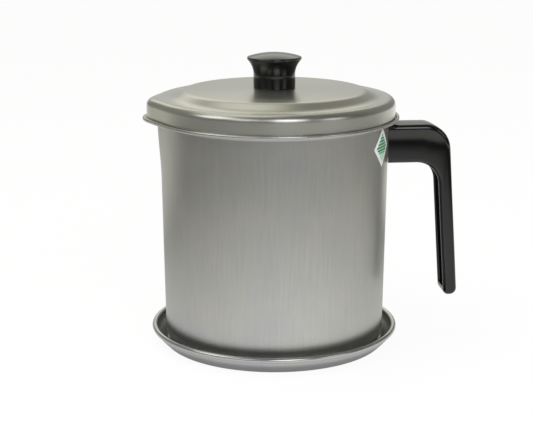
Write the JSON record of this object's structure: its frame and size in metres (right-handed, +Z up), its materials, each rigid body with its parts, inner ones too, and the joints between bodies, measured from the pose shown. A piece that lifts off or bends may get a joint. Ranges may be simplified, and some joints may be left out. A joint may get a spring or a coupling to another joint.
{
  "type": "bacon grease container",
  "caption": "Coated steel grease pot with pouring lip, lift-off lid, fine strainer, black side handle and drip saucer.",
  "frame": {"origin": "centre of the saucer's flat underside, on the pot's axis", "axes": "+Z up along the pot's axis, +X from the axis towards the handle, the pouring lip along -X"},
  "size_m": [0.168, 0.132, 0.1553],
  "materials": {
    "coated_steel": "satin silver-grey non-stick coating",
    "strainer_steel": "plain satin steel",
    "gauze_steel": "fine woven wire",
    "bracket_steel": "coated with the pot",
    "zinc_steel": "zinc plated, dull",
    "insert_brass": "turned",
    "black_phenolic": "gloss moulded phenolic"
  },
  "bodies": {
    "saucer": {"saucer": "coated_steel"},
    "pot": {"pot_body": "coated_steel", "handle_bracket": "bracket_steel", "handle": "black_phenolic", "handle_insert": "insert_brass", "handle_screw": "zinc_steel", "handle_washer": "zinc_steel"},
    "strainer": {"strainer_cup": "strainer_steel", "sieve_plate": "strainer_steel", "strainer_gauze": "gauze_steel", "clamp_ring": "strainer_steel"},
    "lid": {"lid": "coated_steel", "lid_knob": "black_phenolic", "knob_insert": "insert_brass", "knob_screw": "zinc_steel", "knob_washer": "zinc_steel"}
  },
  "joints": [
    {"name": "pot_lift", "type": "slide", "parent": "saucer", "child": "pot", "axis": [0, 0, 1], "range_m": [0, 0.04]},
    {"name": "lid_lift", "type": "slide", "parent": "pot", "child": "lid", "axis": [0, 0, 1], "range_m": [0, 0.1]},
    {"name": "strainer_lift", "type": "slide", "parent": "pot", "child": "strainer", "axis": [0, 0, 1], "range_m": [0, 0.05]}
  ],
  "couplings": [
    {"joint": "strainer_lift", "follows": "lid_lift", "ratio": 0.5}
  ]
}
